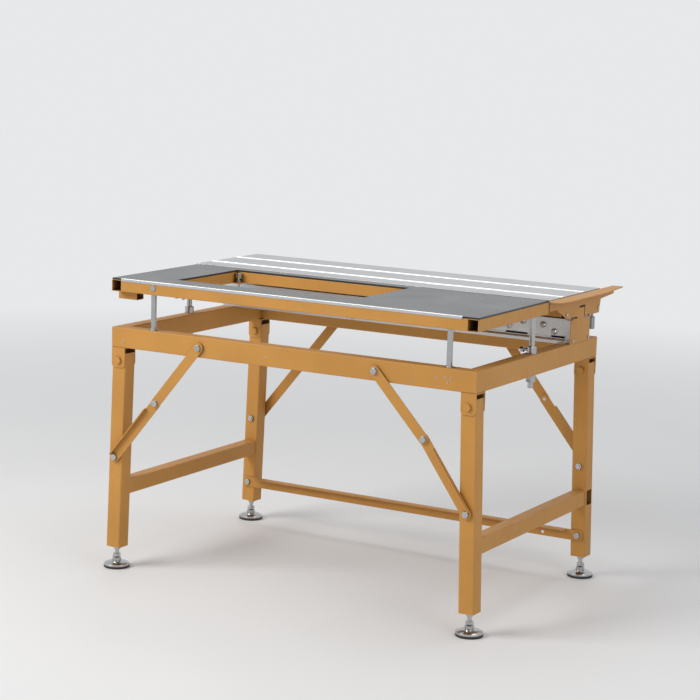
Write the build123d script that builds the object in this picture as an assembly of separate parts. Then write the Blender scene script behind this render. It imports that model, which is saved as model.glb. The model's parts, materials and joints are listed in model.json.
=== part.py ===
from build123d import *
import math
import os

# Folding workshop router table: a steel lower frame on four folding legs, a height-adjustable
# upper frame with a cut-out panel, and an aluminium sliding table on a beam at the back.
# Units are millimetres. X runs along the table, Y from front to back, Z up from the floor.
# Everything is drawn about the lower frame's own centre and moved once at the end, so that
# the origin is the middle of the overall footprint on the floor.

# ---------------------------------------------------------------- driving dimensions
FRAME_LENGTH = 1200.0
FRAME_DEPTH = 794.0
FRAME_TOP = 732.0
RAIL_HEIGHT = 60.0
RAIL_WIDTH = 40.0
RAIL_WALL = 2.0
RAIL_CORNER = 3.0

LEG_SIDE = 47.4
LEG_WALL = 2.5
LEG_CORNER = 4.0
LEG_SPLAY = 1.65
LEG_BOTTOM = 64.7
LEG_TOP_GAP = 16.5
HINGE_DROP = 38.5
HINGE_INSET = 24.0
HINGE_BOLT_RADIUS = 6.0
EAR_THICKNESS = 3.0
EAR_LENGTH = 60.0
EAR_WIDTH = 46.0
CROSSBAR_WIDTH = 40.0
CROSSBAR_HEIGHT = 45.0
CROSSBAR_BELOW_HINGE = 388.0
TUBE_WALL = 2.0
TUBE_CORNER = 2.5

FOOT_RADIUS = 38.5
RUBBER_HEIGHT = 7.0
DISH_RIM = 4.0
BALL_HEIGHT = 24.0
BALL_RADIUS = 9.0
STUD_RADIUS = 6.0
STUD_REACH = 50.0

BRACE_WIDTH = 30.0
BRACE_THICKNESS = 3.0
BRACE_FLANGE = 12.0
BRACE_RAIL_X = 290.0
BRACE_RAIL_DROP = 31.0
BRACE_LEG_BELOW_HINGE = 291.3
BRACE_BOLT_RADIUS = 5.0
BRACE_HEAD_ACROSS = 17.0
BRACE_HEAD_HEIGHT = 6.0
FRONT_RIGHT_KINK = 15.0

STRETCHER_HEIGHT = 32.0
STRETCHER_LEVEL = 130.0
STRETCHER_THICKNESS = 4.0
STRETCHER_CORNER = 7.0
STRETCHER_FLANGE = 18.0
STRETCHER_HOLE_INSET = 115.0

UPPER_BOTTOM = 838.0
UPPER_TUBE = 34.0
UPPER_WALL = 1.5
UPPER_OVERHANG = 3.0
UPPER_BACK = 40.0
PANEL_THICKNESS = 5.0
OPENING_LEFT = -428.0
OPENING_RIGHT = 172.0
OPENING_FRONT = -314.0
TRIM_THICKNESS = 1.5
TRIM_DROP = 3.0
TRIM_LIP = 6.0
TRIM_SHORT = 15.0
TAB_SIZE = 26.0
TAB_THICKNESS = 3.0
TAB_SCREW_RADIUS = 4.0
SOCKET_HEIGHT = 26.0
SOCKET_LENGTH = 65.0

ROD_RADIUS = 8.0
ROD_FRONT_LEFT_X = -461.0
ROD_FRONT_RIGHT_X = 509.0
ROD_REAR_Y = -24.0
ROD_FRONT_ENGAGEMENT = 26.0
ROD_REAR_TIP = 634.0
ROD_NUT_HEIGHT = 20.0
COLLAR_HEIGHT = 22.0
COLLAR_RADIUS = 13.5

BEAM_FRONT = 195.0
BEAM_DEPTH = 135.0
BEAM_HEIGHT = 73.0
BEAM_WALL = 4.0
CAP_THICKNESS = 12.0
BEAM_LIP = 6.0
BEAM_LIP_HEIGHT = 14.0
PLATE_THICKNESS = 3.0
FLANGE_WIDTH = 45.0
FLANGE_FRONT = 31.0
FLANGE_CUT = 8.0
FLANGE_BACK = 500.0

DECK_TOP = 875.5
DECK_THICKNESS = 16.0
DECK_OVERHANG = 18.0
DECK_FRONT = 62.0
DECK_BACK = 410.0
DECK_SEAM_FRONT = 151.0
DECK_SEAM_BACK = 293.0
SLOT_WIDTH = 5.0
BEAD_WIDTH = 3.0
BEAD_HEIGHT = 1.4
CARRIER_THICKNESS = 3.0
PIN_INSET = 14.0
PIN_Y = 383.0
PIN_RADIUS = 4.0
GRIP_RADIUS = 9.0
GRIP_HEIGHT = 37.0
GRIP_DROP = 13.0
DECK_END_GAP = 4.0

# ---------------------------------------------------------------- clearances
BODY_GAP = 0.3
PIN_FIT = 0.08
SHAFT_FIT = 0.1
BOLT_FIT = 0.2

# ---------------------------------------------------------------- derived places
HALF_LENGTH = FRAME_LENGTH / 2
HALF_DEPTH = FRAME_DEPTH / 2
FRAME_BOTTOM = FRAME_TOP - RAIL_HEIGHT
HINGE_X = HALF_LENGTH - HINGE_INSET
HINGE_Z = FRAME_BOTTOM - HINGE_DROP
SPLAY = math.radians(LEG_SPLAY)
LEG_BACK = HALF_DEPTH - EAR_THICKNESS - BODY_GAP
LEG_Y = LEG_BACK - LEG_SIDE / 2
LEG_INNER = LEG_BACK - LEG_SIDE
LEG_ABOVE = HINGE_DROP - LEG_TOP_GAP
LEG_BELOW = (HINGE_Z - LEG_BOTTOM) / math.cos(SPLAY)
BALL_BELOW = (HINGE_Z - BALL_HEIGHT) / math.cos(SPLAY)
BALL_X = HINGE_X + (HINGE_Z - BALL_HEIGHT) * math.tan(SPLAY)
UPPER_FRONT = -HALF_DEPTH - UPPER_OVERHANG
UPPER_TOP = UPPER_BOTTOM + UPPER_TUBE
PANEL_TOP = UPPER_TOP + PANEL_THICKNESS
ROD_REAR_X = HALF_LENGTH - UPPER_TUBE / 2
ROD_FRONT_Y = UPPER_FRONT + UPPER_TUBE / 2
BEAM_TOP = FRAME_TOP + BEAM_HEIGHT
BEAM_BACK = BEAM_FRONT + BEAM_DEPTH
DECK_BOTTOM = DECK_TOP - DECK_THICKNESS
PIN_X = HALF_LENGTH - PIN_INSET
FLANGE_EDGE = HALF_LENGTH + PLATE_THICKNESS + FLANGE_WIDTH

LINK_BACK = HALF_DEPTH + BODY_GAP
LINK_SEAM = LINK_BACK + BRACE_THICKNESS
UPPER_LINK_BACK = LINK_SEAM + BODY_GAP
UPPER_LINK_FACE = UPPER_LINK_BACK + BRACE_THICKNESS
HEAD_SEAT = UPPER_LINK_FACE + BODY_GAP


def leg_point(below):
    """A point on the left legs' centre line, that far below the hinge: (x, z)."""
    return (-HINGE_X - below * math.sin(SPLAY), HINGE_Z - below * math.cos(SPLAY))


BRACE_RAIL = (-BRACE_RAIL_X, FRAME_TOP - BRACE_RAIL_DROP)
BRACE_LEG = leg_point(BRACE_LEG_BELOW_HINGE)


def brace_middle(kink):
    """The middle pivot of a left brace, pushed that far off the straight line: (x, z)."""
    run = BRACE_LEG[0] - BRACE_RAIL[0]
    rise = BRACE_LEG[1] - BRACE_RAIL[1]
    off = kink / math.hypot(run, rise)
    return (BRACE_RAIL[0] + run / 2 + rise * off, BRACE_RAIL[1] + rise / 2 - run * off)



# Overall reach on each side of the frame's centre, which sets the origin.
LEFT_REACH = BALL_X + FOOT_RADIUS
RIGHT_REACH = max(FLANGE_EDGE, LEFT_REACH)
FRONT_REACH = max(HEAD_SEAT + BRACE_HEAD_HEIGHT, LINK_SEAM + BRACE_FLANGE)
BACK_REACH = max(FLANGE_BACK, FRONT_REACH)
ORIGIN_X = (RIGHT_REACH - LEFT_REACH) / 2
ORIGIN_Y = (BACK_REACH - FRONT_REACH) / 2


# ---------------------------------------------------------------- shape helpers
AXES = {"x": Axis.X, "y": Axis.Y, "z": Axis.Z}


def block(x, y, z):
    """A box from (low, high) pairs on each axis."""
    size = [high - low for low, high in (x, y, z)]
    middle = [(high + low) / 2 for low, high in (x, y, z)]
    return Pos(*middle) * Box(*size)


def tube(x, y, z, wall, axis, closed=0.0):
    """A tube along an axis with rounded long edges; closed is the end caps' thickness."""
    outer = block(x, y, z)
    outer = fillet(outer.edges().filter_by(AXES[axis]), TUBE_CORNER)
    grow = 1.0 if closed == 0 else -closed
    shrink = {name: -wall for name in "xyz"}
    shrink[axis] = grow
    inner = [
        (low - shrink[name], high + shrink[name]) for name, (low, high) in zip("xyz", (x, y, z))
    ]
    return outer - block(*inner)


def rod_x(start, end, y, z, radius):
    return Pos((start + end) / 2, y, z) * Rot(0, 90, 0) * Cylinder(radius, end - start)


def rod_y(x, start, end, z, radius):
    return Pos(x, (start + end) / 2, z) * Rot(90, 0, 0) * Cylinder(radius, end - start)


def rod_z(x, y, start, end, radius):
    return Pos(x, y, (start + end) / 2) * Cylinder(radius, end - start)


def hexagon(across, height):
    return extrude(RegularPolygon(across / 2, 6, major_radius=False), height)


def hex_y(x, start, end, z, across):
    return Pos(x, end, z) * Rot(90, 0, 0) * hexagon(across, end - start)


def hex_z(x, y, start, end, across):
    return Pos(x, y, start) * hexagon(across, end - start)


def plate_xz(sketch, start, end):
    """A sketch drawn in X and Z, given thickness from y = start to y = end."""
    face = Plane(origin=(0, start, 0), x_dir=(1, 0, 0), z_dir=(0, -1, 0))
    return extrude(face * sketch, start - end)


def plate_yz(sketch, start, end):
    """A sketch drawn in Y and Z, given thickness from x = start to x = end."""
    face = Plane(origin=(start, 0, 0), x_dir=(0, 1, 0), z_dir=(1, 0, 0))
    return extrude(face * sketch, end - start)


def dome_y(x, y, z, radius, height):
    """A low round screw head on a face that looks towards -Y."""
    head = rod_y(x, y - height, y, z, radius)
    return chamfer(head.edges().group_by(Axis.Y)[0], height * 0.45)


def quarter(shape, side, row):
    """A copy of a front-left piece for the left (-1) or right (1), front (-1) or rear (1)."""
    if side > 0:
        shape = mirror(shape, Plane.YZ)
    if row > 0:
        shape = mirror(shape, Plane.XZ)
    return shape


QUARTERS = {
    "front_left": (-1, -1),
    "front_right": (1, -1),
    "rear_left": (-1, 1),
    "rear_right": (1, 1),
}
nodes = {}


# ---------------------------------------------------------------- lower frame
def mitred_rail(outer, cavity, axis, corners):
    """A hollow rail with rounded long edges, cut to a mitred outline."""
    bar = block(*outer, (FRAME_BOTTOM, FRAME_TOP))
    bar = fillet(bar.edges().filter_by(axis), RAIL_CORNER)
    bar &= Pos(0, 0, FRAME_BOTTOM) * extrude(Polygon(*corners, align=None), RAIL_HEIGHT)
    return bar - block(*cavity, (FRAME_BOTTOM + RAIL_WALL, FRAME_TOP - RAIL_WALL))


def lower_frame():
    inner_x = HALF_LENGTH - RAIL_WIDTH
    inner_y = HALF_DEPTH - RAIL_WIDTH
    front = mitred_rail(
        ((-HALF_LENGTH, HALF_LENGTH), (-HALF_DEPTH, -inner_y)),
        ((-HALF_LENGTH, HALF_LENGTH), (-HALF_DEPTH + RAIL_WALL, -inner_y - RAIL_WALL)),
        Axis.X,
        [(-HALF_LENGTH, -HALF_DEPTH), (HALF_LENGTH, -HALF_DEPTH), (inner_x, -inner_y),
         (-inner_x, -inner_y)],
    )
    left = mitred_rail(
        ((-HALF_LENGTH, -inner_x), (-HALF_DEPTH, HALF_DEPTH)),
        ((-HALF_LENGTH + RAIL_WALL, -inner_x - RAIL_WALL), (-HALF_DEPTH, HALF_DEPTH)),
        Axis.Y,
        [(-HALF_LENGTH, -HALF_DEPTH), (-inner_x, -inner_y), (-inner_x, inner_y),
         (-HALF_LENGTH, HALF_DEPTH)],
    )
    wall_inside = -HALF_DEPTH + RAIL_WALL + 1
    for x in (-BRACE_RAIL[0], BRACE_RAIL[0]):
        front -= rod_y(x, -HALF_DEPTH - 1, wall_inside, BRACE_RAIL[1], BRACE_BOLT_RADIUS + BOLT_FIT)
    rear = mirror(front, Plane.XZ)
    for x in (ROD_FRONT_LEFT_X, ROD_FRONT_RIGHT_X):
        front -= rod_z(x, ROD_FRONT_Y, FRAME_TOP - RAIL_WALL - 1, FRAME_TOP + 1, ROD_RADIUS + BODY_GAP)
    left -= rod_z(-ROD_REAR_X, ROD_REAR_Y, FRAME_BOTTOM - 1, FRAME_TOP + 1, ROD_RADIUS + BODY_GAP)
    nodes["lower_front_rail"] = [front]
    nodes["lower_rear_rail"] = [rear]
    nodes["lower_left_rail"] = [left]
    nodes["lower_right_rail"] = [mirror(left, Plane.YZ)]


def hinge_brackets():
    left = -HALF_LENGTH
    right = left + EAR_WIDTH
    front = -HALF_DEPTH
    rear = front + 2 * EAR_THICKNESS + 2 * BODY_GAP + LEG_SIDE
    ear = Pos((left + right) / 2, FRAME_BOTTOM - EAR_LENGTH / 2) * Rectangle(EAR_WIDTH, EAR_LENGTH)
    ear = fillet(ear.vertices().group_by(Axis.Y)[0], EAR_WIDTH / 4)
    bracket = block((left, right), (front, rear), (FRAME_BOTTOM - EAR_THICKNESS, FRAME_BOTTOM))
    bracket += plate_xz(ear, front, front + EAR_THICKNESS)
    bracket += plate_xz(ear, rear - EAR_THICKNESS, rear)
    bracket -= rod_y(-HINGE_X, front - 1, rear + 1, HINGE_Z, HINGE_BOLT_RADIUS + PIN_FIT)
    bolt = rod_y(-HINGE_X, front - 1, rear + 1, HINGE_Z, HINGE_BOLT_RADIUS)
    bolt += hex_y(-HINGE_X, front - 7, front, HINGE_Z, 19)
    bolt += hex_y(-HINGE_X, rear, rear + 8, HINGE_Z, 19)
    nodes["leg_hinge_brackets"] = [quarter(bracket, *place) for place in QUARTERS.values()]
    nodes["leg_hinge_bolts"] = [quarter(bolt, *place) for place in QUARTERS.values()]


# ---------------------------------------------------------------- legs and feet
def on_left_leg(shape):
    """Move a shape from the leg's own frame, hinge at the origin, to the splayed left leg."""
    return Pos(-HINGE_X, 0, HINGE_Z) * Rot(0, LEG_SPLAY, 0) * shape


def legs():
    half = LEG_SIDE / 2
    span_y = (-LEG_Y - half, -LEG_Y + half)
    leg = block((-half, half), span_y, (-LEG_BELOW, LEG_ABOVE))
    leg = fillet(leg.edges().filter_by(Axis.Z), LEG_CORNER)
    hollow = (-half + LEG_WALL, half - LEG_WALL)
    floor_plate = 5.0
    leg -= block(
        hollow, (-LEG_Y + hollow[0], -LEG_Y + hollow[1]), (-LEG_BELOW + floor_plate, LEG_ABOVE + 1)
    )
    leg -= rod_y(0, span_y[0] - 1, span_y[1] + 1, 0, HINGE_BOLT_RADIUS + PIN_FIT)
    leg -= rod_z(0, -LEG_Y, -LEG_BELOW - 1, -LEG_BELOW + floor_plate + 1, STUD_RADIUS + BODY_GAP)
    window_half = CROSSBAR_HEIGHT / 2
    window = block(
        (-half - 1, -half + LEG_WALL + 1),
        (-LEG_Y - CROSSBAR_WIDTH / 2 + 2, -LEG_Y + CROSSBAR_WIDTH / 2 - 2),
        (-CROSSBAR_BELOW_HINGE - window_half, -CROSSBAR_BELOW_HINGE + window_half),
    )
    for name, place in QUARTERS.items():
        body = leg - window if name == "rear_right" else leg
        nodes["leg_" + name] = [quarter(on_left_leg(body), *place)]

    crossbar = tube(
        (-CROSSBAR_WIDTH / 2, CROSSBAR_WIDTH / 2),
        (-LEG_INNER, LEG_INNER),
        (-CROSSBAR_BELOW_HINGE - window_half, -CROSSBAR_BELOW_HINGE + window_half),
        TUBE_WALL,
        "y",
    )
    nut_height = 10.0
    foot_nut = hex_z(0, -LEG_Y, -LEG_BELOW - nut_height, -LEG_BELOW, 19)
    foot_nut -= rod_z(0, -LEG_Y, -LEG_BELOW - nut_height - 1, -LEG_BELOW + 1, STUD_RADIUS + BODY_GAP)
    brace_nut = hex_y(0, -LEG_INNER, -LEG_INNER + 7, -BRACE_LEG_BELOW_HINGE, BRACE_HEAD_ACROSS)
    brace_nut += rod_y(
        0, -LEG_INNER + 7, -LEG_INNER + 10, -BRACE_LEG_BELOW_HINGE, BRACE_BOLT_RADIUS
    )
    for side_name, side in (("left", -1), ("right", 1)):
        nodes["crossbar_" + side_name] = [quarter(on_left_leg(crossbar), side, -1)]
        nodes["leg_nuts_" + side_name] = [
            quarter(on_left_leg(nut), side, row) for nut in (foot_nut, brace_nut) for row in (-1, 1)
        ]


def feet():
    stud_top = -LEG_BELOW + STUD_REACH
    stud = rod_z(0, -LEG_Y, -BALL_BELOW, stud_top, STUD_RADIUS)
    stud += Pos(0, -LEG_Y, -BALL_BELOW) * Sphere(BALL_RADIUS)
    stud += hex_z(0, -LEG_Y, -BALL_BELOW + 9, -BALL_BELOW + 17, 22)
    stud = on_left_leg(stud)

    neck_radius = 13.0
    neck_top = BALL_HEIGHT + 5.0
    shoulder = RUBBER_HEIGHT + DISH_RIM
    profile = Polyline(
        (0, RUBBER_HEIGHT), (FOOT_RADIUS, RUBBER_HEIGHT), (FOOT_RADIUS, shoulder)
    )
    profile += ThreePointArc(
        (FOOT_RADIUS, shoulder), (FOOT_RADIUS * 0.72, shoulder + 5.5), (neck_radius, shoulder + 8.5)
    )
    profile += Polyline(
        (neck_radius, shoulder + 8.5), (neck_radius, neck_top), (0, neck_top), (0, RUBBER_HEIGHT)
    )
    dish = revolve(Plane.XZ * make_face(profile), Axis.Z)
    dish -= Pos(0, 0, BALL_HEIGHT) * Sphere(BALL_RADIUS + BODY_GAP)
    dish = Pos(-BALL_X, -LEG_Y, 0) * dish
    rubber = rod_z(0, 0, 0, RUBBER_HEIGHT, FOOT_RADIUS)
    rubber = Pos(-BALL_X, -LEG_Y, 0) * chamfer(rubber.edges().group_by(Axis.Z)[0], 1.2)
    for name, place in QUARTERS.items():
        nodes["foot_stud_" + name] = [quarter(stud, *place)]
        nodes["foot_dish_" + name] = [quarter(dish, *place)]
        nodes["foot_rubber_" + name] = [quarter(rubber, *place)]


# ---------------------------------------------------------------- braces
def on_line(sketch, start, end):
    """Place a sketch drawn along +X so that it runs from one pivot to the other."""
    angle = math.degrees(math.atan2(end[1] - start[1], end[0] - start[0]))
    return Pos(*start) * Rot(0, 0, angle) * sketch


def braces():
    for name, place in QUARTERS.items():
        middle = brace_middle(FRONT_RIGHT_KINK if name == "front_right" else 0)
        length = math.dist(BRACE_RAIL, middle)
        hole = Circle(BRACE_BOLT_RADIUS + PIN_FIT)
        link = Pos(length / 2, 0) * SlotCenterToCenter(length, BRACE_WIDTH)
        link -= hole + Pos(length, 0) * hole
        flange_start = BRACE_WIDTH * 1.2
        flange = Pos((flange_start + length) / 2, -(BRACE_WIDTH - BRACE_THICKNESS) / 2) * Rectangle(
            length - flange_start, BRACE_THICKNESS
        )
        upper = plate_xz(on_line(link, BRACE_RAIL, middle), -UPPER_LINK_FACE, -UPPER_LINK_BACK)
        lower = plate_xz(on_line(link, middle, BRACE_LEG), -LINK_SEAM, -LINK_BACK)
        lower += plate_xz(
            on_line(flange, middle, BRACE_LEG), -LINK_SEAM - BRACE_FLANGE, -LINK_BACK
        )
        bolts = []
        for (x, z), seat in ((middle, HEAD_SEAT), (BRACE_LEG, LINK_SEAM)):
            bolt = rod_y(x, -seat - 1, -LINK_BACK, z, BRACE_BOLT_RADIUS)
            bolt += hex_y(x, -seat - BRACE_HEAD_HEIGHT, -seat, z, BRACE_HEAD_ACROSS)
            bolts.append(quarter(bolt, *place))
        nodes["brace_upper_" + name] = [quarter(upper, *place)]
        nodes["brace_lower_" + name] = [quarter(lower, *place)]
        nodes["brace_bolts_" + name] = bolts

    rail_x, rail_z = BRACE_RAIL
    inside = -HALF_DEPTH + RAIL_WALL
    nut_height = 8.0
    hole_radius = BRACE_BOLT_RADIUS + BOLT_FIT
    bolt = rod_y(rail_x, -HEAD_SEAT - 1, inside + nut_height + 3, rail_z, BRACE_BOLT_RADIUS)
    bolt += hex_y(rail_x, -HEAD_SEAT - BRACE_HEAD_HEIGHT, -HEAD_SEAT, rail_z, BRACE_HEAD_ACROSS)
    washer = rod_y(rail_x, -LINK_SEAM, -HALF_DEPTH, rail_z, 11)
    washer -= rod_y(rail_x, -LINK_SEAM - 1, -HALF_DEPTH + 1, rail_z, hole_radius)
    nut = hex_y(rail_x, inside, inside + nut_height, rail_z, BRACE_HEAD_ACROSS)
    nut -= rod_y(rail_x, inside - 1, inside + nut_height + 1, rail_z, hole_radius)
    nodes["brace_rail_bolts"] = [
        quarter(piece, *place) for place in QUARTERS.values() for piece in (bolt, washer, nut)
    ]


def stretcher():
    below = (HINGE_Z - STRETCHER_LEVEL) / math.cos(SPLAY)
    end_x = -leg_point(below)[0]
    back = LEG_INNER - BODY_GAP
    front = back - STRETCHER_THICKNESS
    bolt_radius = BRACE_BOLT_RADIUS
    bar = RectangleRounded(2 * end_x + STRETCHER_HEIGHT, STRETCHER_HEIGHT, STRETCHER_CORNER)
    for x in (-end_x, end_x):
        bar -= Pos(x, 0) * Circle(bolt_radius + BOLT_FIT)
    bar -= Pos(end_x - STRETCHER_HOLE_INSET, -STRETCHER_HEIGHT / 6) * Circle(bolt_radius)
    bar = plate_xz(Pos(0, STRETCHER_LEVEL) * bar, front, back)
    flange_half = end_x - LEG_SIDE / 2 - 12
    top = STRETCHER_LEVEL + STRETCHER_HEIGHT / 2
    bar += block(
        (-flange_half, flange_half), (front - STRETCHER_FLANGE, back), (top - STRETCHER_THICKNESS, top)
    )
    bolts = []
    for x in (-end_x, end_x):
        bolt = rod_y(x, front - 1, back, STRETCHER_LEVEL, bolt_radius)
        bolt += hex_y(x, front - BRACE_HEAD_HEIGHT, front, STRETCHER_LEVEL, BRACE_HEAD_ACROSS)
        bolts.append(bolt)
    nodes["rear_stretcher"] = [bar]
    nodes["stretcher_bolts"] = bolts


# ---------------------------------------------------------------- upper frame
def upper_frame():
    level = (UPPER_BOTTOM, UPPER_TOP)
    inner_back = UPPER_BACK - UPPER_TUBE
    inner_front = UPPER_FRONT + UPPER_TUBE
    side = tube((-HALF_LENGTH, -HALF_LENGTH + UPPER_TUBE), (UPPER_FRONT, inner_back), level,
                UPPER_WALL, "y")
    side -= rod_z(-ROD_REAR_X, ROD_REAR_Y, UPPER_BOTTOM - 1, UPPER_BOTTOM + UPPER_WALL + 1,
                  ROD_RADIUS + BOLT_FIT)
    front_half = HALF_LENGTH - UPPER_TUBE
    front = tube((-front_half, front_half), (UPPER_FRONT, inner_front), level, UPPER_WALL, "x")
    for x in (ROD_FRONT_LEFT_X, ROD_FRONT_RIGHT_X):
        front -= rod_z(x, ROD_FRONT_Y, UPPER_BOTTOM - 1, UPPER_BOTTOM + UPPER_WALL + 1,
                       ROD_RADIUS + BOLT_FIT)
    rear = tube((-HALF_LENGTH, HALF_LENGTH), (inner_back, UPPER_BACK), level, UPPER_WALL, "x",
                closed=UPPER_WALL)
    members = [
        tube((OPENING_LEFT - UPPER_TUBE, OPENING_LEFT), (inner_front, inner_back), level,
             UPPER_WALL, "y"),
        tube((OPENING_RIGHT, OPENING_RIGHT + UPPER_TUBE), (inner_front, inner_back), level,
             UPPER_WALL, "y"),
    ]
    tab_top = UPPER_BOTTOM + TAB_THICKNESS
    screw_nut_height = 6.0
    screw_head_low = UPPER_TOP - 18
    screws = []
    for x, inwards in ((OPENING_LEFT, 1), (OPENING_RIGHT, -1)):
        for y, towards in ((OPENING_FRONT, 1), (inner_back, -1)):
            tab_x = sorted((x, x + inwards * TAB_SIZE))
            tab_y = sorted((y, y + towards * TAB_SIZE))
            at = (x + inwards * TAB_SIZE / 2, y + towards * TAB_SIZE / 2)
            hole = rod_z(*at, UPPER_BOTTOM - 1, UPPER_TOP, TAB_SCREW_RADIUS + BOLT_FIT)
            members.append(block(tab_x, tab_y, (UPPER_BOTTOM, tab_top)) - hole)
            screw = rod_z(*at, UPPER_BOTTOM - 20, screw_head_low + 1, TAB_SCREW_RADIUS)
            screws.append(screw + hex_z(*at, screw_head_low, UPPER_TOP - 3, 17))
            screws.append(hex_z(*at, tab_top, tab_top + screw_nut_height, 13) - hole)

    panel = block(
        (-HALF_LENGTH + 1, HALF_LENGTH - 1),
        (UPPER_FRONT + 1, UPPER_BACK),
        (UPPER_TOP, PANEL_TOP),
    )
    through = (UPPER_TOP - 1, PANEL_TOP + 1)
    panel -= block((OPENING_LEFT, OPENING_RIGHT), (OPENING_FRONT, inner_back), through)
    trim_x = (-front_half, front_half - TRIM_SHORT)
    trim_face = UPPER_FRONT - TRIM_THICKNESS
    trim_back = UPPER_FRONT + TRIM_LIP
    panel -= block(trim_x, (UPPER_FRONT, trim_back), through)
    trim = block(trim_x, (trim_face, trim_back), (UPPER_TOP, PANEL_TOP))
    trim += block(trim_x, (trim_face, UPPER_FRONT), (UPPER_TOP - TRIM_DROP, UPPER_TOP))

    socket = tube(
        (-HALF_LENGTH, -HALF_LENGTH + SOCKET_LENGTH),
        (inner_front, inner_front + UPPER_TUBE),
        (UPPER_BOTTOM - SOCKET_HEIGHT, UPPER_BOTTOM),
        TUBE_WALL,
        "x",
    )
    screws.append(dome_y(ROD_FRONT_LEFT_X + 8, UPPER_FRONT, UPPER_BOTTOM + 0.6 * UPPER_TUBE, 9, 3.5))
    for x in (-375, 195):
        screws.append(rod_z(x, UPPER_FRONT + 8, UPPER_BOTTOM - 2.5, UPPER_BOTTOM, 4))
    nodes["upper_left_rail"] = [side]
    nodes["upper_right_rail"] = [mirror(side, Plane.YZ)]
    nodes["upper_front_rail"] = [front]
    nodes["upper_rear_rail"] = [rear]
    nodes["opening_members"] = members
    nodes["table_panel"] = [panel]
    nodes["front_trim"] = [trim]
    nodes["extension_socket"] = [socket]
    nodes["upper_screws"] = screws


def lift_rods():
    rod_top = UPPER_TOP - UPPER_WALL - 1
    front_tip = FRAME_TOP - ROD_FRONT_ENGAGEMENT
    bore = ROD_RADIUS + SHAFT_FIT
    rods = []
    nuts = []
    for x in (ROD_FRONT_LEFT_X, ROD_FRONT_RIGHT_X):
        rods.append(rod_z(x, ROD_FRONT_Y, front_tip, rod_top, ROD_RADIUS))
        washer = rod_z(x, ROD_FRONT_Y, FRAME_TOP, FRAME_TOP + 5, COLLAR_RADIUS - 3)
        nuts.append(washer - rod_z(x, ROD_FRONT_Y, FRAME_TOP - 1, FRAME_TOP + 6, bore))
    collar_top = FRAME_TOP + COLLAR_HEIGHT
    screw_z = FRAME_TOP + 0.45 * COLLAR_HEIGHT
    for x in (-ROD_REAR_X, ROD_REAR_X):
        rods.append(rod_z(x, ROD_REAR_Y, ROD_REAR_TIP, rod_top, ROD_RADIUS))
        collar = rod_z(x, ROD_REAR_Y, FRAME_TOP, collar_top, COLLAR_RADIUS)
        collar = chamfer(collar.edges().group_by(Axis.Z)[-1], 2)
        if x > 0:
            collar += rod_x(x - 26, x - COLLAR_RADIUS + 3, ROD_REAR_Y, screw_z, 4)
            collar += rod_x(x - 34, x - 24, ROD_REAR_Y, screw_z, 8)
        nuts.append(collar - rod_z(x, ROD_REAR_Y, FRAME_TOP - 1, collar_top + 1, bore))
        nut_low = FRAME_BOTTOM - ROD_NUT_HEIGHT
        lower = hex_z(x, ROD_REAR_Y, nut_low, FRAME_BOTTOM, 26)
        nuts.append(lower - rod_z(x, ROD_REAR_Y, nut_low - 1, FRAME_BOTTOM + 1, bore))
    nodes["lift_rods"] = rods
    nodes["rod_collars_and_nuts"] = nuts


# ---------------------------------------------------------------- beam and sliding table
BEAM_BOLTS = ((405, 37), (449, 54), (514, 50), (550, 33))
BEAM_SLOTS = ((430, 70), (563, 44))
GROOVE_UP = 19.0


def beam():
    ends = (-HALF_LENGTH, HALF_LENGTH - CAP_THICKNESS)
    past_ends = (ends[0] - 1, ends[1] + 1)
    section = block(ends, (BEAM_FRONT, BEAM_BACK), (FRAME_TOP, BEAM_TOP))
    middle = (BEAM_FRONT + BEAM_BACK) / 2
    for low, high in ((BEAM_FRONT, middle), (middle, BEAM_BACK)):
        section -= block(
            past_ends,
            (low + BEAM_WALL, high - BEAM_WALL),
            (FRAME_TOP + BEAM_WALL, BEAM_TOP - BEAM_WALL),
        )
    lip = block(ends, (BEAM_FRONT - BEAM_LIP, BEAM_FRONT), (FRAME_TOP, FRAME_TOP + BEAM_LIP_HEIGHT))
    lip_edge = lip.edges().filter_by(Axis.X).group_by(Axis.Z)[-1].group_by(Axis.Y)[0]
    section += chamfer(lip_edge, BEAM_LIP - 1)
    groove_z = FRAME_TOP + GROOVE_UP
    section -= block(
        past_ends, (BEAM_FRONT - 1, BEAM_FRONT + 1.5), (groove_z - 1, groove_z + 1)
    )
    screws = []
    for sign in (-1, 1):
        for x, length in BEAM_SLOTS:
            section -= block(
                (sign * x - length / 2, sign * x + length / 2),
                (BEAM_FRONT - 1, BEAM_FRONT + BEAM_WALL + 1),
                (groove_z - 3, groove_z + 3),
            )
        for x, up in BEAM_BOLTS:
            z = FRAME_TOP + up
            section -= rod_y(sign * x, BEAM_FRONT - 1, BEAM_FRONT + BEAM_WALL + 1, z, 4 + BOLT_FIT)
            head = dome_y(sign * x, BEAM_FRONT, z, 9, 6)
            screws.append(head + rod_y(sign * x, BEAM_FRONT - 1, BEAM_FRONT + BEAM_WALL + 4, z, 4))
    nodes["slide_beam"] = [section]
    caps = []
    for end, outwards in ((ends[0], -PLATE_THICKNESS), (ends[1], CAP_THICKNESS)):
        cap = block(sorted((end, end + outwards)), (BEAM_FRONT, BEAM_BACK), (FRAME_TOP, BEAM_TOP))
        caps.append(fillet(cap.edges().filter_by(Axis.X), BEAM_WALL))
    nodes["beam_end_cap"] = caps
    return screws


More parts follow.
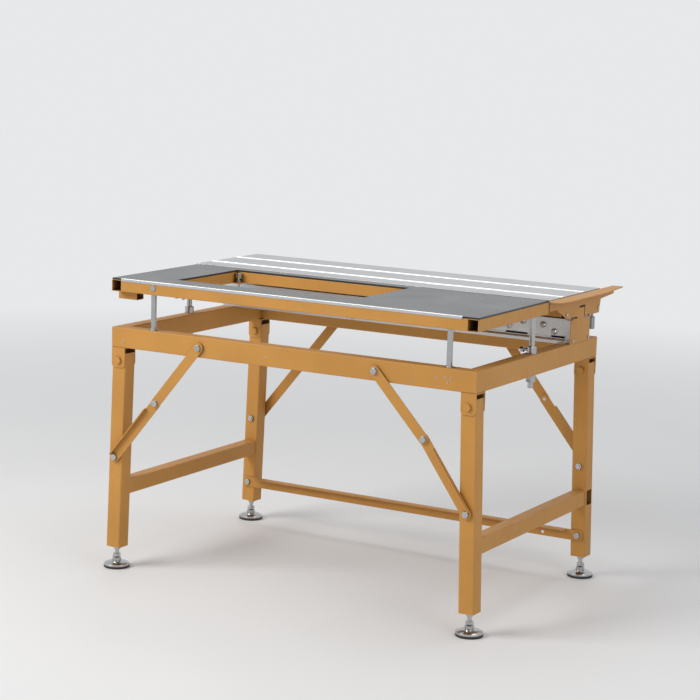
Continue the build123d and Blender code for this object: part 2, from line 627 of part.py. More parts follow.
def end_plate():
    """The folded sheet on the beam's right end, with the flange that the table stops against."""
    shelf = DECK_TOP - 1 - PLATE_THICKNESS
    wing_low = BEAM_TOP + 40
    wing_front = UPPER_BACK + 4
    wing_corner = 10.0
    outline = Polygon(
        (wing_front, shelf), (wing_front, wing_low), (wing_front + 48, wing_low),
        (BEAM_FRONT - 28, BEAM_TOP + 4), (BEAM_FRONT, BEAM_TOP), (BEAM_FRONT, FRAME_TOP),
        (BEAM_BACK, FRAME_TOP), (BEAM_BACK, BEAM_TOP), (BEAM_BACK + 64, BEAM_TOP),
        (BEAM_BACK + 74, wing_low), (FLANGE_BACK, wing_low + 6), (FLANGE_BACK, shelf),
        align=None,
    )
    outline = fillet(outline.vertices().group_by(Axis.X)[0].group_by(Axis.Y)[0], wing_corner)
    cut = 6.0
    latch_slot = Pos(269, BEAM_TOP + 32) * Rectangle(38, cut)
    latch_slot += Pos(288, BEAM_TOP + 16) * Rectangle(cut, 38)
    latch_slot += Pos(307, BEAM_TOP) * Rectangle(38, cut)
    arrow_slot = Pos(219, BEAM_TOP + 2) * Rectangle(36, cut)
    arrow_slot += Pos(198, BEAM_TOP + 2) * RegularPolygon(9, 3, rotation=180)
    front_x = HALF_LENGTH
    back_x = front_x + PLATE_THICKNESS
    plate = plate_yz(outline - latch_slot - arrow_slot, front_x, back_x)
    shelf_outline = Polygon(
        (back_x + FLANGE_CUT, FLANGE_FRONT), (FLANGE_EDGE - FLANGE_CUT, FLANGE_FRONT + 6),
        (FLANGE_EDGE, FLANGE_FRONT + 50), (FLANGE_EDGE, FLANGE_BACK - 150),
        (FLANGE_EDGE - 2 * FLANGE_CUT, FLANGE_BACK), (front_x, FLANGE_BACK),
        (front_x, wing_front), (back_x, wing_front), (back_x, FLANGE_FRONT + 6),
        align=None,
    )
    plate += Pos(0, 0, shelf) * extrude(shelf_outline, PLATE_THICKNESS)
    guide_reach = 14.0
    guide_top = BEAM_TOP + PLATE_THICKNESS
    guide = block(
        (PIN_X - guide_reach, front_x), (PIN_Y - guide_reach, PIN_Y + guide_reach),
        (BEAM_TOP, guide_top),
    )
    guide -= rod_z(PIN_X, PIN_Y, BEAM_TOP - 1, guide_top + 1, PIN_RADIUS + SHAFT_FIT)
    nodes["beam_end_plate"] = [plate + guide]
    heads = []
    for y, z in ((BEAM_FRONT + 15, FRAME_TOP + 8), (BEAM_BACK - 9, FRAME_TOP + 8),
                 (BEAM_FRONT - 35, BEAM_TOP + 18), (BEAM_BACK + 55, BEAM_TOP + 16)):
        heads.append(rod_x(back_x, back_x + 2.5, y, z, 5))
    return heads


def deck():
    seams = (DECK_SEAM_FRONT, DECK_SEAM_BACK)
    edges = (DECK_FRONT, *seams, DECK_BACK)
    length = (-HALF_LENGTH - DECK_OVERHANG, HALF_LENGTH - DECK_END_GAP)
    skin = 3.0
    half_slot = SLOT_WIDTH / 2
    planks = []
    for index in range(3):
        low = edges[index] + (half_slot if index > 0 else 0)
        high = edges[index + 1] - (half_slot if index < 2 else 0)
        plank = block(length, (low, high), (DECK_BOTTOM, DECK_TOP))
        if index > 0:
            plank += block(length, (low, low + BEAD_WIDTH), (DECK_TOP - 1, DECK_TOP + BEAD_HEIGHT))
        if index < 2:
            plank += block(length, (high - BEAD_WIDTH, high), (DECK_TOP - 1, DECK_TOP + BEAD_HEIGHT))
        chambers = max(2, round((high - low) / 36))
        pitch = (high - low - skin) / chambers
        for chamber in range(chambers):
            start = low + skin + chamber * pitch
            plank -= block(
                (length[0] - 1, length[1] + 1), (start, start + pitch - skin),
                (DECK_BOTTOM + skin, DECK_TOP - skin),
            )
        planks.append(plank)
    pin_hole = rod_z(PIN_X, PIN_Y, DECK_BOTTOM - 1, DECK_TOP - skin, PIN_RADIUS + BODY_GAP)
    planks[2] -= pin_hole
    nodes["deck_planks"] = planks

    half = HALF_LENGTH - 25
    wide = (DECK_FRONT + 34, DECK_BACK - 20)
    low = BEAM_TOP + 5
    web = CARRIER_THICKNESS
    carrier = [block((-half, half), wide, (DECK_BOTTOM - web, DECK_BOTTOM))]
    for start in (BEAM_FRONT - 7, BEAM_BACK + 4):
        carrier.append(block((-half, half), (start, start + web), (low, DECK_BOTTOM - web)))
    nodes["deck_carrier"] = carrier
    glides = []
    for x in (-450, -150, 150, 450):
        glides.append(
            block(
                (x - 35, x + 35), (BEAM_FRONT + 15, BEAM_BACK - 15),
                (BEAM_TOP + BODY_GAP, DECK_BOTTOM - web),
            )
        )
    nodes["deck_glides"] = glides

    grip_top = BEAM_TOP - GRIP_DROP
    grip_low = grip_top - GRIP_HEIGHT
    pin = rod_z(PIN_X, PIN_Y, grip_low, DECK_BOTTOM - 5, PIN_RADIUS)
    grip = rod_z(PIN_X, PIN_Y, grip_low, grip_top, GRIP_RADIUS)
    pin += chamfer(grip.edges().filter_by(GeomType.CIRCLE), 1)
    nodes["deck_lock_pin"] = [pin]


RAIL_RIVETS = ((-556, 44), (-63, 34), (407, 44), (477, 29), (505, 25), (521, 26), (513, 39))


def rail_rivets():
    return [dome_y(x, -HALF_DEPTH, FRAME_TOP - drop, 2.8, 1.2) for x, drop in RAIL_RIVETS]


# ---------------------------------------------------------------- build and write
lower_frame()
hinge_brackets()
legs()
feet()
braces()
stretcher()
upper_frame()
lift_rods()
nodes["frame_screws"] = beam() + end_plate() + rail_rivets()
deck()

os.makedirs("parts", exist_ok=True)
for name, pieces in nodes.items():
    solids = [solid for piece in pieces for solid in piece.solids()]
    moved = [Pos(-ORIGIN_X, -ORIGIN_Y, 0) * solid for solid in solids]
    export_step(Compound(moved), "parts/" + name + ".step")
print(len(nodes), "nodes; origin moved by", round(ORIGIN_X, 4), round(ORIGIN_Y, 4))
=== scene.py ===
import json
import math

import bpy
from mathutils import Matrix, Vector

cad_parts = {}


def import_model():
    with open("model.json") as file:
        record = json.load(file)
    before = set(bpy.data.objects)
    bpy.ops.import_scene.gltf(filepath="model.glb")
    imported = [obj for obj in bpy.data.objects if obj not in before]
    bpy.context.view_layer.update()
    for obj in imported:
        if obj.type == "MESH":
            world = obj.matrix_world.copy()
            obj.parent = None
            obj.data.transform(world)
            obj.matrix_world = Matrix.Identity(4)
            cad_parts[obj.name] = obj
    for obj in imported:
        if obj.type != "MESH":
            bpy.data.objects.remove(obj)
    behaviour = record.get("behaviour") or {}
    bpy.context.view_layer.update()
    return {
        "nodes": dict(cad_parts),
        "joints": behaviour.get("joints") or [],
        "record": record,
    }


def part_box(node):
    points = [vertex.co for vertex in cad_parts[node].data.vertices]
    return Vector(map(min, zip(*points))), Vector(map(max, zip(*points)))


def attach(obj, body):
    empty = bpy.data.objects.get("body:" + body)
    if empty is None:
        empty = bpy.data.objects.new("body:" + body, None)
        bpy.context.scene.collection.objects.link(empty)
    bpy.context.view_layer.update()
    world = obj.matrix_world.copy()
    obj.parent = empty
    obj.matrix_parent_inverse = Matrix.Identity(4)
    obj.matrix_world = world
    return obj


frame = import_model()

MM = 0.001
JOINTS = {joint["name"]: joint for joint in frame["joints"]}
QUARTERS = [(row, side) for row in ("front", "rear") for side in ("left", "right")]


# ---------------------------------------------------------------- shader helpers
class Graph:
    """A material's node tree, with one short call for each kind of node."""

    def __init__(self, name):
        self.material = bpy.data.materials.new(name)
        self.material.use_nodes = True
        self.tree = self.material.node_tree
        self.shader = self.tree.nodes["Principled BSDF"]
        self.place = self.add("ShaderNodeTexCoord").outputs["Object"]
        self.geometry = self.add("ShaderNodeNewGeometry")

    def add(self, kind, inputs=None, **settings):
        node = self.tree.nodes.new(kind)
        for key, value in settings.items():
            setattr(node, key, value)
        for key, value in (inputs or {}).items():
            self.feed(node.inputs[key], value)
        return node

    def feed(self, socket, value):
        if isinstance(value, bpy.types.NodeSocket):
            self.tree.links.new(value, socket)
        else:
            socket.default_value = value

    def math(self, operation, first, second=0.0, clamp=False):
        node = self.add("ShaderNodeMath", {0: first, 1: second}, operation=operation, use_clamp=clamp)
        return node.outputs[0]

    def stretch(self, scale, turn=(0.0, 0.0, 0.0)):
        node = self.add("ShaderNodeMapping", {"Vector": self.place, "Scale": scale, "Rotation": turn})
        return node.outputs["Vector"]

    def noise(self, scale, detail=3.0, vector=None, roughness=0.5):
        inputs = {"Vector": vector or self.place, "Scale": scale, "Detail": detail, "Roughness": roughness}
        return self.add("ShaderNodeTexNoise", inputs).outputs["Fac"]

    def span(self, value, low, high, out_low=0.0, out_high=1.0):
        inputs = {"Value": value, "From Min": low, "From Max": high, "To Min": out_low, "To Max": out_high}
        return self.add("ShaderNodeMapRange", inputs).outputs["Result"]

    def mix(self, factor, first, second, blend="MIX"):
        node = self.add("ShaderNodeMix", data_type="RGBA", blend_type=blend)
        self.feed(node.inputs[0], factor)
        self.feed(node.inputs[6], first)
        self.feed(node.inputs[7], second)
        return node.outputs[2]

    def soft_edges(self, radius):
        """The surface normal, rounded over at edges, and a mask that is 1 on an edge."""
        rounded = self.add("ShaderNodeBevel", {"Radius": radius}, samples=8).outputs["Normal"]
        inputs = {0: rounded, 1: self.geometry.outputs["Normal"]}
        alike = self.add("ShaderNodeVectorMath", inputs, operation="DOT_PRODUCT").outputs["Value"]
        return rounded, self.span(alike, 0.995, 0.86)

    def painted_shade_mask(self, distance, low=0.15, high=0.6):
        """1 in the open and 0 deep inside a tube or a corner of that size, where shade is painted into a
        colour.
        """
        open_sky = self.add("ShaderNodeAmbientOcclusion", {"Distance": distance}, samples=6)
        return self.span(open_sky.outputs["AO"], low, high)

    def bump(self, height, distance, strength, normal=None):
        inputs = {"Height": height, "Distance": distance, "Strength": strength}
        if normal is not None:
            inputs["Normal"] = normal
        return self.add("ShaderNodeBump", inputs).outputs["Normal"]

    def axis(self, vector, name):
        return self.add("ShaderNodeSeparateXYZ", {"Vector": vector}).outputs[name]

    def finish(self, **sockets):
        for key, value in sockets.items():
            self.feed(self.shader.inputs[key.replace("_", " ")], value)
        return self.material


def grey(value, tint=0.0):
    return (value - tint, value, value + tint, 1.0)


def shade(colour, share):
    """The same colour at a share of its strength."""
    return tuple(c * share for c in colour[:3]) + (1.0,)


# ---------------------------------------------------------------- materials
def powder_coat(name, colour, worn):
    """Satin powder coat: orange peel, drifting tone, rubbed edges, a little settled dust, painted shade in
    hollows.
    """
    g = Graph(name)
    rounded, edge = g.soft_edges(0.0012)
    drift = g.span(g.noise(5.0, 4.0), 0.3, 0.7)
    deep = shade(colour, 0.86)
    tone = g.mix(drift, deep, colour)
    smudge = g.span(g.noise(26.0, 6.0, roughness=0.7), 0.56, 0.72, 0.0, 0.22)
    tone = g.mix(smudge, tone, shade(colour, 0.72))
    rub = g.math("MULTIPLY", edge, g.span(g.noise(70.0, 5.0, roughness=0.7), 0.36, 0.62))
    tone = g.mix(g.math("MULTIPLY", rub, 0.75), tone, worn)
    up = g.axis(g.geometry.outputs["Normal"], "Z")
    dust = g.math("MULTIPLY", g.span(up, 0.6, 1.0), g.span(g.noise(60.0, 5.0), 0.4, 0.7, 0.01, 0.10))
    tone = g.mix(dust, tone, (0.62, 0.58, 0.52, 1.0))
    # painted shade: tubes, corners and crevices get a dark copy of the paint where shade falls
    tone = g.mix(g.painted_shade_mask(0.06), shade(colour, 0.22), tone)
    peel = g.math("ADD", g.noise(520.0, 2.0), g.math("MULTIPLY", g.noise(1500.0, 2.0), 0.5))
    rough = g.math("ADD", g.span(g.noise(38.0, 4.0), 0.3, 0.7, 0.42, 0.54), g.math("MULTIPLY", dust, 1.2))
    return g.finish(
        Base_Color=tone, Roughness=rough, Normal=g.bump(peel, 0.0004, 0.35, rounded),
        Specular_IOR_Level=0.28, Coat_Weight=0.04, Coat_Roughness=0.3,
    )


def board(name):
    """Charcoal phenolic board: a smooth sheen, a few hairline scratches and a black cut edge."""
    g = Graph(name)
    rounded, edge = g.soft_edges(0.0008)
    cloud = g.span(g.noise(2.6, 3.0), 0.3, 0.7)
    tone = g.mix(cloud, (0.054, 0.056, 0.059, 1.0), (0.060, 0.063, 0.066, 1.0))
    scratch = g.noise(1.0, 3.0, g.stretch((5.0, 620.0, 5.0), (0.0, 0.0, 0.35)), 0.6)
    scratch = g.span(scratch, 0.68, 0.74, 0.0, 0.22)
    tone = g.mix(scratch, tone, grey(0.14))
    flat = g.span(g.math("ABSOLUTE", g.axis(g.geometry.outputs["Normal"], "Z")), 0.4, 0.8)
    tone = g.mix(flat, grey(0.032), tone)
    tone = g.mix(g.math("MULTIPLY", edge, 0.5), tone, grey(0.03))
    rough = g.span(g.noise(7.0, 3.0), 0.3, 0.7, 0.25, 0.31)
    rough = g.math("ADD", rough, g.math("MULTIPLY", scratch, 0.3))
    return g.finish(
        Base_Color=tone, Roughness=rough, Normal=g.bump(g.noise(40.0, 1.0), 0.00002, 0.04, rounded),
        Specular_IOR_Level=0.34,
    )


def brushed(name, colour, roughness, along=(4.0, 900.0, 900.0), painted_highlight_above=None):
    """Aluminium drawn or brushed along X; what stands above a height gets a painted highlight."""
    g = Graph(name)
    rounded, edge = g.soft_edges(0.0006)
    line = g.noise(1.0, 4.0, g.stretch(along), 0.65)
    cloud = g.span(g.noise(9.0, 5.0), 0.3, 0.7)
    dull = shade(colour, 0.9)
    tone = g.mix(cloud, dull, colour)
    tone = g.mix(g.span(line, 0.3, 0.7, 0.0, 0.35), tone, shade(colour, 0.8))
    mark = g.span(g.noise(140.0, 5.0, roughness=0.75), 0.66, 0.76, 0.0, 0.3)
    tone = g.mix(mark, tone, grey(0.32))
    tone = g.mix(g.math("MULTIPLY", edge, 0.6), tone, grey(0.95))
    rough = g.span(line, 0.25, 0.75, roughness - 0.07, roughness + 0.07)
    if painted_highlight_above is not None:
        # painted highlight: the tops of the deck's beads are painted near white, as if catching the light
        bead_highlight = g.span(g.axis(g.place, "Z"), painted_highlight_above, painted_highlight_above + 0.0002)
        tone = g.mix(bead_highlight, tone, grey(0.97))
    return g.finish(
        Base_Color=tone, Metallic=1.0, Roughness=rough, Normal=g.bump(line, 0.0001, 0.25, rounded)
    )


def plated(name, colour, roughness):
    """Zinc or chrome plate: faint clouding, a few small stains, bright edges and painted shade in hollows.
    """
    g = Graph(name)
    rounded, edge = g.soft_edges(0.0004)
    cloud = g.span(g.noise(30.0, 3.0), 0.3, 0.7)
    tone = g.mix(cloud, shade(colour, 0.9), colour)
    stain = g.span(g.noise(40.0, 5.0, roughness=0.7), 0.66, 0.76, 0.0, 0.3)
    tone = g.mix(stain, tone, (0.36, 0.33, 0.29, 1.0))
    tone = g.mix(g.math("MULTIPLY", edge, 0.6), tone, grey(0.92))
    # painted shade: recesses and corners get a dark copy of the plate colour where shade falls
    tone = g.mix(g.painted_shade_mask(0.012, 0.1, 0.7), shade(colour, 0.3), tone)
    rough = g.math("ADD", g.span(g.noise(60.0, 3.0), 0.3, 0.7, roughness - 0.03, roughness + 0.04),
                   g.math("MULTIPLY", stain, 0.4))
    return g.finish(
        Base_Color=tone, Metallic=1.0, Roughness=rough,
        Normal=g.bump(g.noise(260.0, 2.0), 0.00004, 0.08, rounded),
    )


def moulded(name, colour, roughness, scale):
    """Moulded rubber or nylon: fine texture, dusty patches and scuffed edges."""
    g = Graph(name)
    rounded, edge = g.soft_edges(0.0008)
    patch = g.span(g.noise(45.0, 5.0, roughness=0.65), 0.4, 0.7)
    lighter = tuple(min(1.0, c * 1.6 + 0.02) for c in colour[:3]) + (1.0,)
    tone = g.mix(g.math("MULTIPLY", patch, 0.5), colour, lighter)
    tone = g.mix(g.math("MULTIPLY", edge, 0.35), tone, lighter)
    rough = g.span(g.noise(90.0, 4.0), 0.3, 0.7, roughness - 0.08, roughness + 0.08)
    return g.finish(
        Base_Color=tone, Roughness=rough, Normal=g.bump(g.noise(scale, 3.0), 0.0003, 0.4, rounded)
    )


BEAD_HEIGHT = 1.4 * MM
# the height above the deck face from which the bead tops get a painted highlight
HIGHLIGHT_FROM = 0.4 * MM
DECK_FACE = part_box("deck_planks")[1].z - BEAD_HEIGHT
OCHRE = (0.585, 0.282, 0.062, 1.0)
RUBBED_OCHRE = (0.80, 0.56, 0.30, 1.0)
MATERIALS = {
    "painted_steel": powder_coat("ochre_powder_coat", OCHRE, RUBBED_OCHRE),
    "panel_board": board("charcoal_board"),
    "bright_aluminium": brushed(
        "brushed_aluminium", grey(0.56, 0.008), 0.38, painted_highlight_above=DECK_FACE + HIGHLIGHT_FROM,
    ),
    "mill_aluminium": brushed("mill_aluminium", grey(0.62, 0.004), 0.42),
    "plated_steel": plated("plated_steel", grey(0.47), 0.15),
    "grey_steel": plated("dull_grey_steel", (0.33, 0.35, 0.37, 1.0), 0.42),
    "glide_nylon": moulded("natural_nylon", (0.66, 0.64, 0.58, 1.0), 0.5, 700.0),
    "rubber": moulded("black_rubber", (0.020, 0.020, 0.021, 1.0), 0.72, 900.0),
}


def dress_cad_nodes():
    for part in frame["record"]["subparts"]:
        for slot in frame["nodes"][part["node"]].material_slots:
            slot.material = MATERIALS[part["material_slot"]]


# ---------------------------------------------------------------- small pieces
def add_piece(name, verts, faces, body, slot_name, smooth=True):
    """A mesh in the frame's own coordinates that rides on a body."""
    mesh = bpy.data.meshes.new(name)
    mesh.from_pydata([tuple(v) for v in verts], [], faces)
    mesh.materials.append(MATERIALS[slot_name])
    for face in mesh.polygons:
        face.use_smooth = smooth
    piece = bpy.data.objects.new(name, mesh)
    bpy.context.scene.collection.objects.link(piece)
    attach(piece, body)


def across(axis):
    """Two unit vectors square to an axis and to each other."""
    first = axis.orthogonal().normalized()
    return first, axis.cross(first).normalized()


def lathe(name, profile, start, axis, body, slot_name, steps=48):
    """Turn a closed loop of (radius, height) about an axis that starts at a point."""
    axis = axis.normalized()
    first, second = across(axis)
    verts = []
    for step in range(steps):
        angle = 2 * math.pi * step / steps
        out = math.cos(angle) * first + math.sin(angle) * second
        verts += [start + out * radius + axis * height for radius, height in profile]
    count = len(profile)
    faces = []
    for step in range(steps):
        here, there = step * count, (step + 1) % steps * count
        for index in range(count):
            nearby = (index + 1) % count
            faces.append((here + index, there + index, there + nearby, here + nearby))
    add_piece(name, verts, faces, body, slot_name, smooth=False)


def ring_profile(radius, thickness):
    """The round section of a ring, as a closed loop of (radius, height)."""
    turns = [math.radians(angle) for angle in range(0, 360, 30)]
    return [(radius + thickness * math.cos(turn), thickness * math.sin(turn)) for turn in turns]


def tube_faces(rows, steps):
    """The faces between rows of points, each row going once round a tube."""
    faces = []
    for row in range(rows):
        for step in range(steps):
            beside = (step + 1) % steps
            faces.append((row * steps + step, row * steps + beside,
                          (row + 1) * steps + beside, (row + 1) * steps + step))
    return faces


def washer(name, centre, axis, inner, outer, thickness, body):
    edge = thickness * 0.25
    profile = [(inner, 0.0), (outer, 0.0), (outer, thickness - edge), (outer - edge, thickness),
               (inner + edge, thickness), (inner, thickness - edge)]
    lathe(name, profile, centre, axis, body, "plated_steel")


def thread(name, start, axis, length, radius, pitch, rise, body):
    """A thread: a sleeve that rises and falls along a helix, and still clears its nut's bore."""
    axis = axis.normalized()
    first, second = across(axis)
    steps = 24
    rows = max(8, int(length / pitch * 8))
    skin = 0.01 * MM
    verts = []
    for row in range(rows + 1):
        height = length * row / rows
        for step in range(steps):
            turn = step / steps
            phase = (height / pitch - turn) % 1.0
            crest = abs(2.0 * phase - 1.0)
            reach = radius + skin + rise * crest
            out = math.cos(2 * math.pi * turn) * first + math.sin(2 * math.pi * turn) * second
            verts.append(start + out * reach + axis * height)
    add_piece(name, verts, tube_faces(rows, steps), body, "plated_steel")


def weld(name, start, end, radius, body):
    """A run of overlapping weld ripples between two points, painted over."""
    run = end - start
    first, second = across(run.normalized())
    steps = 10
    rows = max(12, int(run.length / (radius * 0.35)))
    verts = []
    for row in range(rows + 1):
        along = row / rows
        ripple = 1.0 + 0.14 * math.sin(along * rows * 1.3)
        taper = min(1.0, 4.0 * along + 0.3, 4.0 * (1.0 - along) + 0.3)
        for step in range(steps):
            angle = 2 * math.pi * step / steps
            out = math.cos(angle) * first + math.sin(angle) * second
            verts.append(start + run * along + out * radius * ripple * taper)
    ends = [tuple(range(steps - 1, -1, -1)), tuple(range(rows * steps, (rows + 1) * steps))]
    add_piece(name, verts, ends + tube_faces(rows, steps), body, "painted_steel")


def joint_place(name):
    return Vector(JOINTS[name]["pos_m"])


STUD_THREAD_START = 17.2 * MM
STUD_THREAD_LENGTH = 13.0 * MM
STUD_RADIUS = 6.0 * MM
STUD_PITCH = 1.75 * MM
STUD_THREAD_RISE = 0.24 * MM
DISH_RIM_INSET = 1.3 * MM
DISH_RIM_THICKNESS = 1.2 * MM
DISH_RIM_HEIGHT = 11.0 * MM


def foot_pieces():
    """Threads on the levelling studs and a rolled rim on each dish."""
    for row, side in QUARTERS:
        corner = row + "_" + side
        ball = joint_place("foot_swivel_" + corner)
        up = -Vector(JOINTS["foot_level_" + corner]["axis"])
        thread("stud_thread_" + corner, ball + up * STUD_THREAD_START, up, STUD_THREAD_LENGTH,
               STUD_RADIUS, STUD_PITCH, STUD_THREAD_RISE, "foot_stud_" + corner)
        low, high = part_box("foot_dish_" + corner)
        rim = ring_profile((high.x - low.x) / 2 - DISH_RIM_INSET, DISH_RIM_THICKNESS)
        lathe("dish_rim_" + corner, rim, Vector((ball.x, ball.y, DISH_RIM_HEIGHT)), Vector((0, 0, 1)),
              "foot_" + corner, "plated_steel", steps=64)


LINK_FACE = 3.5 * MM
WASHER_BORE = 5.2 * MM
WASHER_RADIUS = 10.0 * MM
WASHER_THICKNESS = 1.0 * MM


def brace_pieces():
    """Washers under the heads of the rail and middle bolts of every brace."""
    for row, side in QUARTERS:
        corner = row + "_" + side
        outwards = Vector((0, -1 if row == "front" else 1, 0))
        for joint, body in (("brace_upper_" + corner + "_pivot", "lower_frame"),
                            ("brace_lower_" + corner + "_pivot", "brace_lower_" + corner)):
            seat = joint_place(joint) + outwards * LINK_FACE
            washer("washer_" + joint, seat, outwards, WASHER_BORE, WASHER_RADIUS, WASHER_THICKNESS, body)


WELD_RADIUS = 1.7 * MM
WELD_INSET = 0.6 * MM
WELD_ABOVE = 22.5 * MM
WELD_BESIDE = 20.0 * MM
WELD_HALF_ALONG = 18.0 * MM
WELD_HALF_UP = 20.0 * MM


def leg_pieces():
    """Weld runs where each crossbar meets its two legs."""
    for side in ("left", "right"):
        low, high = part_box("crossbar_" + side)
        centre = (low + high) / 2
        up = -Vector(JOINTS["foot_level_front_" + side]["axis"])
        along = Vector((0, 1, 0)).cross(up)
        for row, y, inwards in (("front", low.y, 1), ("rear", high.y, -1)):
            middle = Vector((centre.x, y + inwards * WELD_INSET, centre.z))
            for place, offset, run in (
                ("top", up * WELD_ABOVE, along * WELD_HALF_ALONG),
                ("bottom", -up * WELD_ABOVE, along * WELD_HALF_ALONG),
                ("left", -along * WELD_BESIDE, up * WELD_HALF_UP),
                ("right", along * WELD_BESIDE, up * WELD_HALF_UP),
            ):
                weld("weld_" + side + "_" + row + "_" + place, middle + offset - run,
                     middle + offset + run, WELD_RADIUS, "leg_frame_" + side)


LATCH_BEHIND_CAP = 0.3 * MM
LATCH_THICKNESS = 9.0 * MM
LATCH_PAST_FRONT = 8.0 * MM
LATCH_PAST_REAR = 3.0 * MM
LATCH_ABOVE_BEAM = 0.4 * MM
LATCH_BELOW_PLATE_TOP = 30.0 * MM
LATCH_CORNER = 4.0 * MM


def latch_piece():
    """The black moulded latch body that shows through the stop plate's slots."""
    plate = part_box("beam_end_plate")
    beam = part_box("slide_beam")
    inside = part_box("beam_end_cap")[1].x - LATCH_BEHIND_CAP
    low = Vector((inside - LATCH_THICKNESS, beam[0].y - LATCH_PAST_FRONT, beam[1].z + LATCH_ABOVE_BEAM))
    high = Vector((inside, beam[1].y + LATCH_PAST_REAR, plate[1].z - LATCH_BELOW_PLATE_TOP))
    corner = LATCH_CORNER
    outline = []
    for y, z, start in ((high.y - corner, high.z - corner, 0), (low.y + corner, high.z - corner, 90),
                        (low.y + corner, low.z + corner, 180), (high.y - corner, low.z + corner, 270)):
        for turn in range(0, 91, 15):
            angle = math.radians(start + turn)
            outline.append((y + corner * math.cos(angle), z + corner * math.sin(angle)))
    count = len(outline)
    verts = [(x, y, z) for x in (low.x, high.x) for y, z in outline]
    faces = [tuple(range(count - 1, -1, -1)), tuple(range(count, 2 * count))]
    faces += [(index, (index + 1) % count, count + (index + 1) % count, count + index)
              for index in range(count)]
    add_piece("latch_body", verts, faces, "lower_frame", "rubber", smooth=False)


GRIP_RINGS = 3
GRIP_RING_INSET = 0.1 * MM
GRIP_RING_THICKNESS = 0.6 * MM
GRIP_RING_START = 6.0 * MM
GRIP_RING_SPACING = 4.0 * MM


def pin_pieces():
    """The gripping rings on the lock pin's sleeve."""
    low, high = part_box("deck_lock_pin")
    centre = (low + high) / 2
    ring = ring_profile((high.x - low.x) / 2 - GRIP_RING_INSET, GRIP_RING_THICKNESS)
    for index in range(GRIP_RINGS):
        start = Vector((centre.x, centre.y, low.z + GRIP_RING_START + GRIP_RING_SPACING * index))
        lathe("grip_ring_" + str(index), ring, start, Vector((0, 0, 1)), "lock_pin", "grey_steel")


# ---------------------------------------------------------------- camera, light and floor
BACKGROUND = (0.80, 0.81, 0.82, 1.0)
CAMERA_TURN = math.radians(29.951)
CAMERA_DIP = math.radians(-9.339)
CAMERA_ROLL = math.radians(1.7187)
CAMERA_PLACE = (2.9674, -5.2422, 1.6603)
CAMERA_VIEW = math.radians(19.40264)
AIM = (0.0, 0.0, 0.5)
FLOOR_REACH = 40.0
FLOOR_DROP = 0.0005


def camera():
    """The camera stands in front of the right end, above the table top, and looks down on it."""
    across_turn = Vector((math.cos(CAMERA_TURN), math.sin(CAMERA_TURN), 0.0))
    along_turn = Vector((-math.sin(CAMERA_TURN), math.cos(CAMERA_TURN), 0.0))
    forward = along_turn * math.cos(CAMERA_DIP) + Vector((0.0, 0.0, math.sin(CAMERA_DIP)))
    above = across_turn.cross(forward)
    right = math.cos(CAMERA_ROLL) * across_turn + math.sin(CAMERA_ROLL) * above
    up = -math.sin(CAMERA_ROLL) * across_turn + math.cos(CAMERA_ROLL) * above
    data = bpy.data.cameras.new("camera")
    data.lens_unit = "FOV"
    data.angle = CAMERA_VIEW
    data.clip_end = 100.0
    eye = bpy.data.objects.new("camera", data)
    turned = Matrix((right, up, -forward)).transposed().to_4x4()
    eye.matrix_world = Matrix.Translation(CAMERA_PLACE) @ turned
    bpy.context.scene.collection.objects.link(eye)
    bpy.context.scene.camera = eye


def area_light(name, place, target, size, power, colour=(1.0, 1.0, 1.0)):
    data = bpy.data.lights.new(name, "AREA")
    data.shape = "RECTANGLE"
    data.size, data.size_y = size
    data.energy = power
    data.color = colour
    lamp = bpy.data.objects.new(name, data)
    lamp.location = place
    lamp.rotation_euler = (Vector(target) - Vector(place)).to_track_quat("-Z", "Y").to_euler()
    bpy.context.scene.collection.objects.link(lamp)


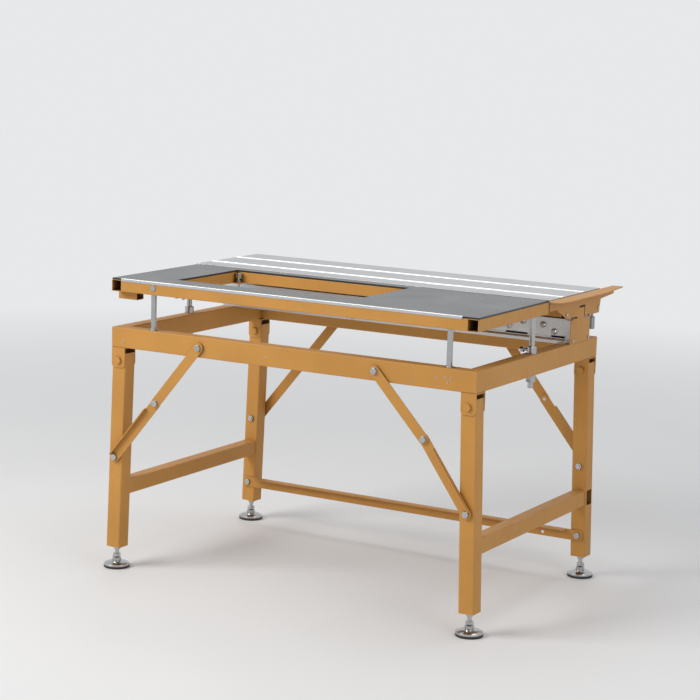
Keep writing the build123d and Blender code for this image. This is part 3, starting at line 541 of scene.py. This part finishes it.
def world():
    """Pale to the camera and to reflections, and a soft even fill for everything else."""
    scene_world = bpy.data.worlds.new("studio")
    scene_world.use_nodes = True
    tree = scene_world.node_tree
    path = tree.nodes.new("ShaderNodeLightPath")
    seen = path.outputs["Is Camera Ray"]
    for name in ("Is Glossy Ray", "Is Transmission Ray"):
        either = tree.nodes.new("ShaderNodeMath")
        either.operation = "MAXIMUM"
        tree.links.new(seen, either.inputs[0])
        tree.links.new(path.outputs[name], either.inputs[1])
        seen = either.outputs[0]
    fill = tree.nodes["Background"]
    fill.inputs["Color"].default_value = (0.95, 0.97, 1.0, 1.0)
    fill.inputs["Strength"].default_value = 0.38
    pale = tree.nodes.new("ShaderNodeBackground")
    pale.inputs["Color"].default_value = BACKGROUND
    pale.inputs["Strength"].default_value = 1.0
    either = tree.nodes.new("ShaderNodeMixShader")
    tree.links.new(seen, either.inputs[0])
    tree.links.new(fill.outputs[0], either.inputs[1])
    tree.links.new(pale.outputs[0], either.inputs[2])
    tree.links.new(either.outputs[0], tree.nodes["World Output"].inputs["Surface"])
    bpy.context.scene.world = scene_world


def floor():
    """A pale floor that keeps the shadow and fades into the background further away."""
    g = Graph("pale_floor")
    tone = g.mix(g.span(g.noise(0.8, 4.0), 0.3, 0.7), grey(0.84), grey(0.88))
    g.finish(Base_Color=tone, Roughness=g.span(g.noise(3.0, 3.0), 0.3, 0.7, 0.55, 0.65))
    away = g.add("ShaderNodeVectorMath", {0: g.place}, operation="LENGTH").outputs["Value"]
    glow = g.add("ShaderNodeEmission", {"Color": BACKGROUND}).outputs["Emission"]
    fade = g.add("ShaderNodeMixShader", {
        0: g.span(away, 1.6, 5.5), 1: g.shader.outputs["BSDF"], 2: glow,
    })
    g.feed(g.tree.nodes["Material Output"].inputs["Surface"], fade.outputs["Shader"])
    mesh = bpy.data.meshes.new("floor")
    corners = [(x * FLOOR_REACH, y * FLOOR_REACH, 0) for x, y in ((-1, -1), (1, -1), (1, 1), (-1, 1))]
    mesh.from_pydata(corners, [], [(0, 1, 2, 3)])
    mesh.materials.append(g.material)
    plane = bpy.data.objects.new("floor", mesh)
    plane.location.z = -FLOOR_DROP
    bpy.context.scene.collection.objects.link(plane)


def studio():
    camera()
    world()
    floor()
    bpy.context.scene.view_settings.view_transform = "Standard"
    area_light("key", (-2.6, -3.4, 3.4), AIM, (2.6, 2.2), 150.0, (1.0, 0.985, 0.96))
    area_light("fill", (3.6, -1.6, 2.2), AIM, (2.2, 2.2), 26.0, (0.97, 0.98, 1.0))
    area_light("top", (0.2, 0.8, 3.8), AIM, (3.0, 2.4), 30.0)


dress_cad_nodes()
foot_pieces()
brace_pieces()
leg_pieces()
latch_piece()
pin_pieces()
studio()
